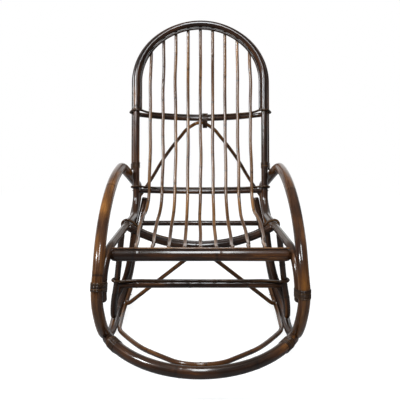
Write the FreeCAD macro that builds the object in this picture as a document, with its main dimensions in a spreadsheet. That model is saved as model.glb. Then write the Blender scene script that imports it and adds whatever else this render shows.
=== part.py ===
# Rocking chair of bent, dark-stained cane poles, in millimetres.
# +Z is up and the chair faces -Y. The origin lies on the floor, midway between the two points
# where the runners touch it. Left and right are as seen from the front.
import FreeCAD, Part
import math
import os
from types import SimpleNamespace
from FreeCAD import Vector as V

SLAT_COUNT = 9
ARM_TIE_TURNS = 5
POST_TIE_TURNS = 3
FOOT_WRAP_TURNS = 6
BRACE_TIE_TURNS = 3

# Driving dimensions: name, value, what it measures.
SIZES = [
    ("frame_dia", 24, "pole that makes the seat sides and the back"),
    ("outer_hoop_dia", 19, "second pole behind the back"),
    ("inner_arch_dia", 10, "thin pole in front of the slat tops"),
    ("arm_dia", 34, "arm pole"),
    ("runner_dia", 28, "runner pole"),
    ("foot_hoop_dia", 35, "bowed foot rest"),
    ("foot_brace_dia", 13, "thin hoop behind the foot rest"),
    ("front_rail_dia", 36, "front seat rail"),
    ("sag_rail_dia", 26, "bowed rail under the seat slats"),
    ("back_rail_dia", 17, "upper and lower back rails"),
    ("rear_rail_dia", 21, "rail between the runner tails"),
    ("stretcher_dia", 24, "rail between the hairpin legs"),
    ("hairpin_dia", 20, "hairpin legs"),
    ("seat_brace_dia", 14, "brace under the seat"),
    ("back_brace_dia", 13, "brace behind the back"),
    ("slat_dia", 12, "slats"),
    ("strip_dia", 6, "strip in front of the slat ends"),
    ("strap_dia", 8, "split cane straps along the back rails"),
    ("seat_strap_dia", 9, "thicker straps along the sag rail and the front stretcher"),
    ("cane_dia", 3.6, "strand of the bindings"),
    ("cane_gap", 0.8, "room between two turns of a binding"),
    ("dowel_dia", 12, "dowel in the butt joint of arm and runner"),
    ("dowel_length", 44, "its length"),
    ("nail_dia", 2, "nail shank"),
    ("nail_head_dia", 5, "nail head"),
    ("nail_head_height", 1.2, "nail head"),
    ("nail_bite", 11, "how deep a nail goes into the piece that holds it"),
    ("fit_gap", 0.3, "room between poles that lie side by side"),
    ("seat_front_width", 530, "between the pole axes at the front of the seat"),
    ("seat_back_width", 465, "between the pole axes at the back of the seat"),
    ("seat_depth", 501, "front rail to the corner of seat and back"),
    ("seat_height", 372, "side pole axis at the front of the seat"),
    ("seat_fall", 45, "how much lower the side pole is at the back"),
    ("seat_set", 345, "front rail ahead of the floor contact"),
    ("seat_bend_radius", 90, "bend from the seat into the back"),
    ("front_bend_set", 67, "where the side pole starts to turn down, behind the front rail"),
    ("front_rail_height", 357, "front rail axis"),
    ("sag_rail_set", 300, "sag rail behind the front rail"),
    ("sag_depth", 71.5, "sag rail middle below its ends"),
    ("slat_pitch", 46.5, "between slats"),
    ("slat_spread", 16, "how far the outermost slats swing out at the sag rail"),
    ("back_recline", 25, "degrees from upright"),
    ("back_length", 725, "corner of seat and back to the top of the hoop"),
    ("back_width", 476, "between the pole axes below the arch"),
    ("arch_rise", 227.5, "height of the arch"),
    ("lower_rail_up", 83, "lower back rail above the corner"),
    ("upper_rail_up", 370, "upper back rail above the corner"),
    ("lower_rail_bow", 26, "how far the lower rail bows back"),
    ("upper_rail_bow", 60, "how far the upper rail bows back"),
    ("outer_hoop_step", 11, "second pole outside the back pole"),
    ("inner_arch_step", 15, "thin pole inside the back pole"),
    ("arm_width", 572, "between the arm axes"),
    ("arm_height", 502, "arm axis at its top"),
    ("arm_reach", 91, "foremost point of the arm ahead of the front rail"),
    ("arm_front_height", 255, "height of that point"),
    ("arm_rise_set", -56, "point where the arm sweeps back, behind the front rail"),
    ("arm_rise_height", 351, "height of that point"),
    ("arm_shoulder_set", 90, "point where the arm has swept up, behind the front rail"),
    ("arm_shoulder_height", 433, "height of that point"),
    ("arm_top_set", 465, "highest point behind the front rail"),
    ("arm_tie_up", 147, "arm crosses the back pole, above the corner"),
    ("arm_splice_height", 236, "arm comes to lie along the runner tail"),
    ("front_tie_height", 283, "seat pole comes to lie along the arm"),
    ("left_tie_rise", 12, "left arm tie above that height"),
    ("right_tie_drop", 8, "right arm tie below that height"),
    ("seat_pole_end_height", 240, "lower end of the seat pole"),
    ("runner_front_radius", 680, "rocking radius ahead of the floor contact"),
    ("runner_rear_radius", 630, "rocking radius behind it"),
    ("runner_front_angle", 33, "degrees of arc to the joint with the arm"),
    ("runner_rear_angle", 38, "degrees of arc to where the tail turns up"),
    ("runner_width", 584, "between the runner axes at the floor contact"),
    ("foot_joint_width", 556, "between the runner axes at the arm joint"),
    ("runner_rear_width", 518, "between the runner axes where the tail turns up"),
    ("tail_width", 452, "between the tail ends"),
    ("tail_set", 475, "tail end behind the floor contact"),
    ("tail_height", 295, "tail end above the floor"),
    ("foot_reach", 205, "foot hoop ahead of the front rail"),
    ("foot_height", 102, "foot hoop axis at its middle"),
    ("foot_end_angle", 62, "degrees that the foot hoop turns back by at its ends"),
    ("foot_wrap_set", 36, "cane wrap from the end of the foot hoop"),
    ("foot_brace_half", 144, "half width of the thin hoop where it swings wide"),
    ("foot_brace_mid_reach", 71, "that point ahead of the front rail"),
    ("foot_brace_side_half", 211, "half width of the thin hoop beside the front rail"),
    ("foot_brace_side_set", 42, "that point behind the front rail"),
    ("foot_brace_front_set", 205, "thin hoop meets the runner, behind the front rail"),
    ("foot_brace_end_set", 400, "thin hoop ends, behind the front rail"),
    ("hairpin_set", 248, "hairpin stands on the runner, behind the front rail"),
    ("hairpin_bend", 13, "radius of the hairpin turn"),
    ("hairpin_top_set", 220, "front leg meets the side pole, behind the front rail"),
    ("hairpin_rear_half", 221, "half width where the rear legs meet the sag rail"),
    ("stretcher_height", 162.5, "front stretcher axis"),
    ("stretcher_half", 273, "half width between the front legs just above it"),
    ("seat_brace_foot_set", 385, "brace foot meets the runner, behind the front rail"),
    ("seat_brace_end_set", 540, "brace foot ends, behind the front rail"),
    ("seat_brace_foot_radius", 34, "bend of the brace foot"),
    ("seat_brace_apex_radius", 46, "bend of the brace at the middle"),
    ("back_brace_end_height", 305, "back brace meets the arm"),
    ("back_brace_bulge", 25, "how far its legs bow out"),
]

doc = FreeCAD.newDocument("rocking_chair")
sheet = doc.addObject("Spreadsheet::Sheet", "Sizes")
for row, (alias, value, note) in enumerate(SIZES, 1):
    sheet.set("A%d" % row, note)
    sheet.set("B%d" % row, str(value))
    sheet.setAlias("B%d" % row, alias)
doc.recompute()
s = SimpleNamespace(**{alias: float(sheet.get(alias)) for alias, value, note in SIZES})

X_AXIS = V(1, 0, 0)
Y_AXIS = V(0, 1, 0)
Z_AXIS = V(0, 0, 1)
SIDES = (("left", -1), ("right", 1))
nodes = {}
paths = {}


# Paths of tangent arcs: a node of a path is a point and the direction of travel there.

def unit(v):
    return V(v) * (1 / v.Length)


def square_to(v, axis):
    """The part of v that is square to axis, as a unit vector."""
    return unit(v - axis * (v.dot(axis) / axis.dot(axis)))


def arc_edge(start, corner, end):
    """Arc from start to end whose tangents meet at corner, or a line where they don't turn."""
    flatness = (end - start).Length / (2 * (corner - start).Length)
    if flatness > 1 - 1e-9:
        return Part.LineSegment(start, end).toShape()
    middle = (start + corner * (2 * flatness) + end) * (1 / (2 + 2 * flatness))
    return Part.Arc(start, middle, end).toShape()


def biarc_corners(p0, t0, p1, t1):
    """The tangent corners of the two arcs that join two path nodes."""
    chord = p1 - p0
    a = 2 * t0.dot(t1) - 2
    b = -2 * chord.dot(t0 + t1)
    c = chord.dot(chord)
    reach = -c / b if abs(a) < 1e-9 else (-b - math.sqrt(b * b - 4 * a * c)) / (2 * a)
    return p0 + t0 * reach, p1 - t1 * reach


class Path:
    """Tangent arcs through path nodes, measured along their length."""

    def __init__(self, path_nodes):
        self.nodes = path_nodes
        self.edges = []
        for (p0, t0), (p1, t1) in zip(path_nodes, path_nodes[1:]):
            q0, q1 = biarc_corners(p0, t0, p1, t1)
            middle = (q0 + q1) * 0.5
            self.edges += [arc_edge(p0, q0, middle), arc_edge(middle, q1, p1)]
        self.length = sum(edge.Length for edge in self.edges)

    def at(self, along):
        """Point and direction at a distance along the path."""
        for edge in self.edges:
            if along <= edge.Length or edge is self.edges[-1]:
                place = edge.getParameterByLength(min(along, edge.Length))
                return edge.valueAt(place), edge.tangentAt(place)
            along -= edge.Length

    def find(self, axis, value, low, high):
        """Distance along the path, between low and high, where the coordinate on axis is value."""
        value += 1e-6
        side = self.at(low)[0].dot(axis) <= value
        for halving in range(50):
            middle = (low + high) / 2
            if (self.at(middle)[0].dot(axis) <= value) == side:
                low = middle
            else:
                high = middle
        return low


def smooth(points, fixed=None):
    """Path nodes through points, each along the circle through it and its neighbours."""
    fixed = fixed or {}
    last = len(points) - 1
    aims = {}
    for i in range(1, last):
        before = points[i] - points[i - 1]
        after = points[i + 1] - points[i]
        aims[i] = unit(before * (after.Length / before.Length) + after * (before.Length / after.Length))
    aims.update(fixed)
    for end, inner in ((0, 1), (last, last - 1)):
        if end not in aims:
            chord = unit(points[inner] - points[end])
            aims[end] = chord * (2 * chord.dot(aims[inner])) - aims[inner]
    return [(points[i], unit(aims[i])) for i in range(last + 1)]


def rounded(points, radii):
    """Path nodes of straight runs between points, with an arc of its radius at each inner point."""
    out = [(points[0], unit(points[1] - points[0]))]
    for i, radius in enumerate(radii, 1):
        before = unit(points[i] - points[i - 1])
        after = unit(points[i + 1] - points[i])
        reach = radius * math.tan(before.getAngle(after) / 2)
        out += [(points[i] - before * reach, before), (points[i] + after * reach, after)]
    return out + [(points[-1], unit(points[-1] - points[-2]))]


def flip(v):
    return V(-v.x, v.y, v.z)


def on_side(path_nodes, side):
    """The nodes of a right-hand piece, or their mirror image."""
    return [(p, t) if side > 0 else (flip(p), flip(t)) for p, t in path_nodes]


def both_halves(right_half):
    """A path from the left end to the right end, from its right half that starts on the middle plane."""
    left_half = [(flip(p), flip(t) * -1) for p, t in right_half[:0:-1]]
    return left_half + right_half


# Solids: each pole is a circle of the sheet swept along its path.

def pole(label, path_nodes, dia):
    path = Path(path_nodes)
    line = doc.addObject("Part::Feature", label + "_line")
    line.Shape = Part.Wire(path.edges)
    section = doc.addObject("Part::Circle", label + "_section")
    section.setExpression("Radius", "Sizes.%s / 2" % dia)
    start, aim = path_nodes[0]
    section.Placement = FreeCAD.Placement(start, FreeCAD.Rotation(Z_AXIS, aim))
    solid = doc.addObject("Part::Sweep", label)
    solid.Sections = [section]
    solid.Spine = (line, [])
    solid.Solid = True
    solid.Frenet = False
    paths[label] = path
    nodes[label] = solid
    return path


def straight_rail(label, middle, half, dia):
    """A straight rail across the chair, as long on each side as half says."""
    solid = doc.addObject("Part::Cylinder", label)
    solid.setExpression("Radius", "Sizes.%s / 2" % dia)
    solid.Height = 2 * half
    solid.Placement = FreeCAD.Placement(middle - X_AXIS * half, FreeCAD.Rotation(Z_AXIS, X_AXIS))
    nodes[label] = solid


def cut_by(label, *tools):
    """Cope or drill a piece: what each tool takes up is cut from it."""
    nodes[label].Label = label + "_blank"
    for tool in tools:
        solid = doc.addObject("Part::Cut", "%s_less_%s" % (label, tool))
        solid.Base = nodes[label]
        solid.Tool = nodes[tool]
        nodes[label] = solid


def on_circle(center, across, ahead, radius, degrees, drift=0):
    """Path node on a circle in the plane of across and ahead, aimed a little along its axis by drift."""
    angle = math.radians(degrees)
    out = across * math.cos(angle) + ahead * math.sin(angle)
    aim = ahead * math.cos(angle) - across * math.sin(angle)
    return center + out * radius, unit(aim + across.cross(ahead) * drift)


def belt_angle(step, first_radius, second_radius):
    """Degrees from the line of centres at which a belt leaves two round poles."""
    return math.degrees(math.acos((first_radius - second_radius) / step))


def binding(label, loop, turns):
    """Cane wound round poles; loop(turn) gives the path nodes of one turn."""
    path_nodes = []
    for turn in range(turns):
        path_nodes += loop(turn)
    path_nodes.append(loop(turns)[0])
    start, start_aim = path_nodes[0]
    end, end_aim = path_nodes[-1]
    path_nodes.insert(0, (start - start_aim * s.cane_dia, start_aim))
    path_nodes.append((end + end_aim * s.cane_dia, end_aim))
    path = pole(label, path_nodes, "cane_dia")
    print("%s: least gap between turns %.2f mm" % (label, turn_gap(path, turns) - s.cane_dia))


def turn_gap(path, turns):
    """Least distance between points of the path that are over a third of a turn apart."""
    count = 48 * turns
    points = [path.at(path.length * i / count)[0] for i in range(count + 1)]
    apart = count // (3 * turns)
    return min((p - q).Length for i, p in enumerate(points) for q in points[i + apart:])


def single_loop(frame, radius):
    """Turns round one pole; frame(advance) gives the centre, across and ahead there."""
    drift = cane_step / (2 * math.pi * radius)

    def loop(turn):
        out = []
        for quarter in range(4):
            center, across, ahead = frame((turn + quarter / 4) * cane_step)
            out.append(on_circle(center, across, ahead, radius, 90 * quarter, drift))
        return out

    return loop


def double_loop(frame, step, near_radius, far_radius):
    """Turns round two poles that lie side by side, step apart along across."""
    leave = belt_angle(step, near_radius, far_radius)
    run = math.sqrt(step ** 2 - (near_radius - far_radius) ** 2)
    far_turn = math.radians(2 * leave) * far_radius
    near_turn = math.radians(360 - 2 * leave) * near_radius
    girth = far_turn + near_turn + 2 * run
    stops = [(step, far_radius, -leave, 0), (step, far_radius, 0, far_turn / 2)]
    stops += [(step, far_radius, leave, far_turn), (0, near_radius, leave, far_turn + run)]
    stops += [(0, near_radius, 180, far_turn + run + near_turn / 2)]
    stops += [(0, near_radius, 360 - leave, girth - run)]

    def loop(turn):
        out = []
        for offset, radius, degrees, gone in stops:
            center, across, ahead = frame((turn + gone / girth) * cane_step)
            center += across * offset
            out.append(on_circle(center, across, ahead, radius, degrees, cane_step / girth))
        return out

    return loop


def oval_loop(frame, far, near, rise):
    """Turns that pass far and near of the centre on across, and rise from it on ahead."""
    drift = cane_step / (math.pi * math.hypot(far + near, 2 * rise) / math.sqrt(2))

    def loop(turn):
        out = []
        for quarter, (sideways, upward) in enumerate(((far, 0), (0, rise), (-near, 0), (0, -rise))):
            center, across, ahead = frame((turn + quarter / 4) * cane_step)
            aim = (ahead, -across, -ahead, across)[quarter]
            spot = center + across * sideways + ahead * upward
            out.append((spot, unit(aim + across.cross(ahead) * drift)))
        return out

    return loop


def nail(spot, aim, length):
    """A nail with its head just clear of a pole's surface at spot, driven along aim."""
    aim = unit(aim)
    under_head = spot - aim * s.fit_gap
    head = Part.makeCylinder(s.nail_head_dia / 2, s.nail_head_height, under_head, aim * -1)
    shank = Part.makeCylinder(s.nail_dia / 2, length + s.fit_gap, under_head, aim)
    return head.fuse(shank).removeSplitter().Solids[0]


def group(label, solids):
    """Like pieces kept together as separate solids."""
    piece = doc.addObject("Part::Feature", label)
    piece.Shape = Part.makeCompound(solids)
    nodes[label] = piece


cane_step = s.cane_dia + s.cane_gap
cane_stand = s.cane_dia / 2 + s.fit_gap
frame_r = s.frame_dia / 2
arm_r = s.arm_dia / 2
runner_r = s.runner_dia / 2
slat_r = s.slat_dia / 2
strap_r = s.strap_dia / 2
front_y = -s.seat_set

# Back: its plane leans back from the corner where the seat and back poles would meet.
lean = math.radians(s.back_recline)
up_dir = V(0, math.sin(lean), math.cos(lean))
rear_dir = V(0, math.cos(lean), -math.sin(lean))
seat_corner = V(s.seat_back_width / 2, front_y + s.seat_depth, s.seat_height - s.seat_fall)
seat_front = V(s.seat_front_width / 2, front_y, s.seat_height)
spring_up = s.back_length - s.arch_rise


def on_back(x, up, rear=0.0):
    return V(x, seat_corner.y, seat_corner.z) + up_dir * up + rear_dir * rear


def post_half(up):
    return (s.seat_back_width + (s.back_width - s.seat_back_width) * up / spring_up) / 2


def on_seat_side(behind_front):
    """Axis of the right side pole of the seat."""
    return seat_front + (seat_corner - seat_front) * (behind_front / s.seat_depth)


# Runners: arcs of the rocking radius, with a tail that turns up and in.

def rocker(radius, degrees, width):
    angle = math.radians(degrees)
    return V(width / 2, radius * math.sin(angle), runner_r + radius * (1 - math.cos(angle)))


TAIL_SPLICE = 0.4
TAIL_SWELL = V(0, 4, -6)
toe = rocker(s.runner_front_radius, -s.runner_front_angle, s.foot_joint_width)
front_mid_width = (s.runner_width + s.foot_joint_width) / 2
rear_mid_width = (s.runner_width + s.runner_rear_width) / 2
front_mid = rocker(s.runner_front_radius, -s.runner_front_angle / 2, front_mid_width)
floor_point = rocker(s.runner_rear_radius, 0, s.runner_width)
rear_mid = rocker(s.runner_rear_radius, s.runner_rear_angle / 2, rear_mid_width)
heel = rocker(s.runner_rear_radius, s.runner_rear_angle, s.runner_rear_width)
tail_end = V(s.tail_width / 2, s.tail_set, s.tail_height)
splice = heel + (tail_end - heel) * TAIL_SPLICE + TAIL_SWELL
toe_turn = math.radians(s.runner_front_angle)
toe_aim = V(0, math.cos(toe_turn), -math.sin(toe_turn))
floor_aim = V(rear_mid.x - front_mid.x, rear_mid.y - front_mid.y, 0)
runner_start = toe + toe_aim * (s.fit_gap / 2)
runner_points = [runner_start, front_mid, floor_point, rear_mid, heel, splice, tail_end]
runner_nodes = smooth(runner_points, {0: toe_aim, 2: floor_aim})
for name, side in SIDES:
    runner = pole(name + "_runner", on_side(runner_nodes, side), "runner_dia")


def beside_runner(behind_front, radius):
    """Axis of a pole of that radius lying along the inner side of the right runner, and its aim."""
    spot, aim = runner.at(runner.find(Y_AXIS, front_y + behind_front, 0, runner.length))
    return spot + square_to(-X_AXIS, aim) * (runner_r + radius + s.fit_gap), aim


# Arms: from the toe joint up, over and back past the back pole, then down along the runner tail.
SPLICE_SIDE = V(1, -0.25, 0)
LOW_SET_BACK = 14
ARM_TAPER_IN = 4
ARM_TOP_AIM = V(-0.07, 1, 0)
arm_half = s.arm_width / 2
splice_step = arm_r + runner_r + s.fit_gap
splice_at = runner.find(Z_AXIS, s.arm_splice_height, runner.length / 2, runner.length)
upper_splice, upper_aim = runner.at(splice_at)
lower_splice, lower_aim = runner.at(splice_at - s.arm_dia * 2)
arm_points = [
    toe - toe_aim * (s.fit_gap / 2),
    V(arm_half - ARM_TAPER_IN, front_y - s.arm_reach + LOW_SET_BACK, (toe.z + s.arm_front_height) / 2),
    V(arm_half, front_y - s.arm_reach, s.arm_front_height),
    V(arm_half - ARM_TAPER_IN, front_y + s.arm_rise_set, s.arm_rise_height),
    V(arm_half, front_y + s.arm_shoulder_set, s.arm_shoulder_height),
    V(arm_half - 2 * ARM_TAPER_IN, front_y + s.arm_top_set, s.arm_height),
    on_back(post_half(s.arm_tie_up) + frame_r + arm_r + s.fit_gap, s.arm_tie_up),
    upper_splice + square_to(SPLICE_SIDE, upper_aim) * splice_step,
    lower_splice + square_to(SPLICE_SIDE, lower_aim) * splice_step,
]
arm_nodes = smooth(arm_points, {0: -toe_aim, 5: ARM_TOP_AIM, 7: -upper_aim, 8: -lower_aim})
for name, side in SIDES:
    arm = pole(name + "_arm", on_side(arm_nodes, side), "arm_dia")
arm_top_at = arm.find(Y_AXIS, front_y + s.arm_top_set, arm.length / 3, arm.length * 0.8)

# Seat and back pole: hoop, posts, seat sides and the ends that run down behind the arms.
TIE_SIDE = V(-0.45, 1, 0)
tie_at = arm.find(Z_AXIS, s.front_tie_height, 0, arm_top_at)
pole_end_at = arm.find(Z_AXIS, s.seat_pole_end_height, 0, arm_top_at)


def behind_arm(along):
    spot, aim = arm.at(along)
    return spot + square_to(TIE_SIDE, aim) * (arm_r + frame_r + s.fit_gap), -aim


post_aim = unit(on_back(post_half(spring_up), spring_up) - seat_corner)
side_aim = unit(seat_front - seat_corner)
bend_reach = s.seat_bend_radius * math.tan(post_aim.getAngle(-side_aim) / 2)
frame_half = [
    (on_back(0, s.back_length), X_AXIS),
    (on_back(s.back_width / 2, spring_up), -post_aim),
    (seat_corner + post_aim * bend_reach, -post_aim),
    (seat_corner + side_aim * bend_reach, side_aim),
    (on_seat_side(s.front_bend_set), side_aim),
    behind_arm(tie_at),
    behind_arm(pole_end_at),
]
frame = pole("seat_back_hoop", both_halves(frame_half), "frame_dia")

# Second hoop behind the back, standing on the arms, and the thin arch inside the hoop.
outer_r = s.outer_hoop_dia / 2
outer_rear = math.sqrt((frame_r + outer_r + s.fit_gap) ** 2 - s.outer_hoop_step ** 2)
outer_foot_up = s.arm_tie_up + arm_r + s.fit_gap
arch_r = s.inner_arch_dia / 2
arch_rear = math.sqrt((frame_r + arch_r + s.fit_gap) ** 2 - s.inner_arch_step ** 2)
arch_foot_up = s.upper_rail_up + s.back_rail_dia / 2 + s.strap_dia + 2 * s.fit_gap


def follow_hoop(label, step, rear, foot_up, dia):
    """A hoop beside the back pole, step outside it and behind it by rear."""
    half = [
        (on_back(0, s.back_length + step, rear), X_AXIS),
        (on_back(post_half(spring_up) + step, spring_up, rear), -post_aim),
        (on_back(post_half(foot_up) + step, foot_up, rear), -post_aim),
    ]
    pole(label, both_halves(half), dia)


follow_hoop("outer_back_hoop", s.outer_hoop_step, outer_rear, outer_foot_up, "outer_hoop_dia")
follow_hoop("inner_back_arch", -s.inner_arch_step, arch_rear, arch_foot_up, "inner_arch_dia")


# Rails: bowed ones are arcs, and each ends inside the pole that it is coped to.

class Bow:
    """Arc across the chair through two ends, a depth away from their line at the middle."""

    def __init__(self, half, depth, place):
        self.depth = depth
        self.place = place
        self.radius = (half ** 2 + depth ** 2) / (2 * depth)

    def off(self, x):
        return self.depth - self.radius + math.sqrt(self.radius ** 2 - x ** 2)

    def beside(self, x, stand):
        """Point of a piece that crosses the rail at x, its axis stand away on the hollow side."""
        slope = self.radius / math.sqrt(self.radius ** 2 - x ** 2)
        return self.place(x, self.off(x) - stand * slope)

    def half_nodes(self, end):
        away = unit(self.place(0, 1) - self.place(0, 0))
        turn = math.asin(end / self.radius)
        end_aim = X_AXIS * math.cos(turn) - away * math.sin(turn)
        return [(self.place(0, self.depth), X_AXIS), (self.place(end, self.off(end)), end_aim)]


sag_y = front_y + s.sag_rail_set
sag_side = on_seat_side(s.sag_rail_set)
lower_half = post_half(s.lower_rail_up)
upper_half = post_half(s.upper_rail_up)
sag_bow = Bow(sag_side.x, s.sag_depth, lambda x, off: V(x, sag_y, sag_side.z - off))
lower_bow = Bow(lower_half, s.lower_rail_bow, lambda x, off: on_back(x, s.lower_rail_up, off))
upper_bow = Bow(upper_half, s.upper_rail_bow, lambda x, off: on_back(x, s.upper_rail_up, off))
pole("seat_sag_rail", both_halves(sag_bow.half_nodes(sag_side.x - frame_r / 2)), "sag_rail_dia")
pole("lower_back_rail", both_halves(lower_bow.half_nodes(lower_half - frame_r / 2)), "back_rail_dia")
pole("upper_back_rail", both_halves(upper_bow.half_nodes(upper_half - frame_r / 2)), "back_rail_dia")
front_rail_axis = V(0, front_y, s.front_rail_height)
front_at = frame.find(Y_AXIS, front_y, frame.length * 0.85, frame.length)
front_post = frame.at(front_at)[0]
straight_rail("front_seat_rail", front_rail_axis, front_post.x - frame_r / 2, "front_rail_dia")
straight_rail("rear_stretcher", V(0, splice.y, splice.z), splice.x - runner_r / 2, "rear_rail_dia")

# Foot hoop: bows forward from the toe joints.
foot_turn = math.radians(s.foot_end_angle)
foot_aim = unit(V(math.cos(foot_turn), math.sin(foot_turn), (toe.z - s.foot_height) / s.foot_reach))
foot_crown = V(0, front_y - s.foot_reach, s.foot_height)
foot_hoop = pole("front_foot_hoop",
                 both_halves([(foot_crown, X_AXIS), (toe - foot_aim * arm_r, foot_aim)]), "foot_hoop_dia")

# Thin hoop: lies on the middle of the foot hoop and runs back along the inner sides of the runners.
BRACE_SEAT = unit(V(0, 0.9, 0.43))
foot_brace_r = s.foot_brace_dia / 2
brace_crown = foot_crown + BRACE_SEAT * (s.foot_hoop_dia / 2 + foot_brace_r + s.fit_gap)
brace_front, brace_front_aim = beside_runner(s.foot_brace_front_set, foot_brace_r)
brace_end, brace_end_aim = beside_runner(s.foot_brace_end_set, foot_brace_r)
brace_fall = (brace_crown.z - brace_front.z) / (brace_front.y - brace_crown.y)


def on_thin_hoop(x, y):
    """A point of the thin hoop, which falls evenly from its crown to the runners."""
    return V(x, y, brace_crown.z - brace_fall * (y - brace_crown.y))


brace_wide = on_thin_hoop(s.foot_brace_half, front_y - s.foot_brace_mid_reach)
brace_side = on_thin_hoop(s.foot_brace_side_half, front_y + s.foot_brace_side_set)
pole("foot_hoop_brace",
     both_halves(smooth([brace_crown, brace_wide, brace_side, brace_front, brace_end],
                        {0: X_AXIS, 3: brace_front_aim, 4: brace_end_aim})), "foot_brace_dia")

# Hairpin legs: stand on the runners with their turn, and carry the side poles and the sag rail.
hairpin_r = s.hairpin_dia / 2
runner_spot, runner_aim = runner.at(runner.find(Y_AXIS, front_y + s.hairpin_set, 0, runner.length))
turn_low = runner_spot + square_to(Z_AXIS, runner_aim) * (runner_r + hairpin_r + s.fit_gap)
turn_mid = turn_low + Z_AXIS * s.hairpin_bend
leg_top = on_seat_side(s.hairpin_top_set) - Z_AXIS * (frame_r / 2)
leg_mid = V(s.stretcher_half, turn_low.y - s.hairpin_bend, s.stretcher_height + s.stretcher_dia)
rear_top = sag_bow.place(s.hairpin_rear_half, sag_bow.off(s.hairpin_rear_half) + s.sag_rail_dia / 4)
HAIRPIN_INWARD = V(-11, 4, 0)
rear_mid_leg = (turn_mid + rear_top) * 0.5 + HAIRPIN_INWARD
hairpin_nodes = smooth([leg_top, leg_mid, turn_mid - Y_AXIS * s.hairpin_bend, turn_low,
                        turn_mid + Y_AXIS * s.hairpin_bend, rear_mid_leg, rear_top],
                       {2: -Z_AXIS, 3: Y_AXIS, 4: Z_AXIS})
for name, side in SIDES:
    hairpin = pole(name + "_hairpin_leg", on_side(hairpin_nodes, side), "hairpin_dia")
leg_spot = hairpin.at(hairpin.find(Z_AXIS, s.stretcher_height, 0, hairpin.length / 2))[0]
straight_rail("front_stretcher", V(0, leg_spot.y, leg_spot.z), leg_spot.x - hairpin_r / 2, "stretcher_dia")

# Brace under the seat: an inverted V below the sag rail, with feet along the runners.
seat_brace_r = s.seat_brace_dia / 2
brace_foot = beside_runner(s.seat_brace_foot_set, seat_brace_r)[0]
brace_tip = beside_runner(s.seat_brace_end_set, seat_brace_r)[0]
apex_low = sag_bow.place(0, s.sag_depth + s.sag_rail_dia / 2 + seat_brace_r + s.fit_gap)
leg_drop = (apex_low.z - brace_foot.z) / math.hypot(brace_foot.x, brace_foot.y - apex_low.y)
apex_lift = s.seat_brace_apex_radius * (math.hypot(1, leg_drop) - 1)
apex = apex_low + Z_AXIS * apex_lift
leg_aim = unit(brace_foot - apex)
apex_reach = s.seat_brace_apex_radius * leg_drop
apex_leave = apex + leg_aim * apex_reach
foot_half = rounded([apex_leave, brace_foot, brace_tip], [s.seat_brace_foot_radius])
pole("under_seat_brace", both_halves([(apex_low, X_AXIS)] + foot_half), "seat_brace_dia")

# Brace behind the back: an inverted V from the middle of the upper rail to the arms.
back_brace_r = s.back_brace_dia / 2
top_low = upper_bow.place(0, s.upper_rail_bow) - up_dir * (s.back_rail_dia / 2 + back_brace_r + s.fit_gap)
arm_spot = arm.at(arm.find(Z_AXIS, s.back_brace_end_height, arm_top_at, arm.length))[0]
leg_end = arm_spot - X_AXIS * (arm_r / 2)
leg_line = leg_end - top_low
bulge_dir = square_to(V(1, 0, 1), leg_line)
BRACE_BOW = ((0, 0), (0.11, 0.88), (0.25, 1), (0.5, 0.87), (0.78, 0.29), (1, 0))
leg_points = [top_low + leg_line * part + bulge_dir * (bow * s.back_brace_bulge) for part, bow in BRACE_BOW]
pole("back_brace", both_halves(smooth(leg_points, {0: X_AXIS})), "back_brace_dia")

# Slats: from the front rail over the sag rail, up in front of both back rails, behind the arch, into the
# second hoop.
front_strip_turn = math.radians(14)
strip_stand = (s.front_rail_dia + s.strip_dia) / 2 + s.fit_gap
strip_axis = front_rail_axis + V(0, -math.sin(front_strip_turn), math.cos(front_strip_turn)) * strip_stand
strip_half = s.seat_front_width / 2 - frame_r - s.fit_gap
straight_rail("front_slat_strip", strip_axis, strip_half, "strip_dia")
rail_stand = s.back_rail_dia / 2 + slat_r + s.fit_gap
slat_rear = arch_rear + arch_r + slat_r + s.fit_gap
front_stand = s.front_rail_dia / 2 + slat_r + s.fit_gap
SLAT_DIP = 0.1
SLAT_OVERHANG = 3
slat_sag_stand = s.sag_rail_dia / 2 + slat_r + s.fit_gap


def hoop_up(x, step):
    """Height above the seat corner, at x, of a hoop that lies step outside the back pole."""
    top = (on_back(0, s.back_length + step), X_AXIS)
    half_hoop = Path([top, (on_back(s.back_width / 2 + step, spring_up), -post_aim)])
    spot = half_hoop.at(half_hoop.find(X_AXIS, abs(x), 0, half_hoop.length))[0]
    return (spot - on_back(spot.x, 0)).dot(up_dir)


slat_names = []
middle_number = (SLAT_COUNT - 1) / 2
for number in range(SLAT_COUNT):
    x = (number - middle_number) * s.slat_pitch
    low = lower_bow.beside(x, rail_stand)
    high = upper_bow.beside(x, rail_stand)
    sag_x = x + s.slat_spread * (number / middle_number - 1)
    on_sag = sag_bow.beside(sag_x, slat_sag_stand)
    arch_up = hoop_up(x, -s.inner_arch_step)
    on_arch = on_back(x, arch_up, slat_rear)
    into_hoop = on_arch + unit(on_arch - high) * (hoop_up(x, s.outer_hoop_step) - arch_up)
    on_front = V(x, front_y, s.front_rail_height)
    dip = unit(V(0, on_sag.y - on_front.y, on_sag.z - on_front.z - front_stand))
    dip = unit(dip - Z_AXIS * SLAT_DIP)
    on_front += square_to(Z_AXIS, dip) * front_stand
    points = [on_front - dip * SLAT_OVERHANG, on_front, on_sag, low, high, on_arch, into_hoop]
    slat = "slat_%d" % (number + 1)
    pole(slat, smooth(points, {0: dip, 1: dip, 3: high - low}), "slat_dia")
    slat_names.append(slat)

# Straps: split cane from behind one post, round it, along the rail and round the other post.

def hook(center, across, ahead, radius, degrees):
    return [on_circle(center, across, ahead, radius + s.fit_gap, angle) for angle in degrees]


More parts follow.
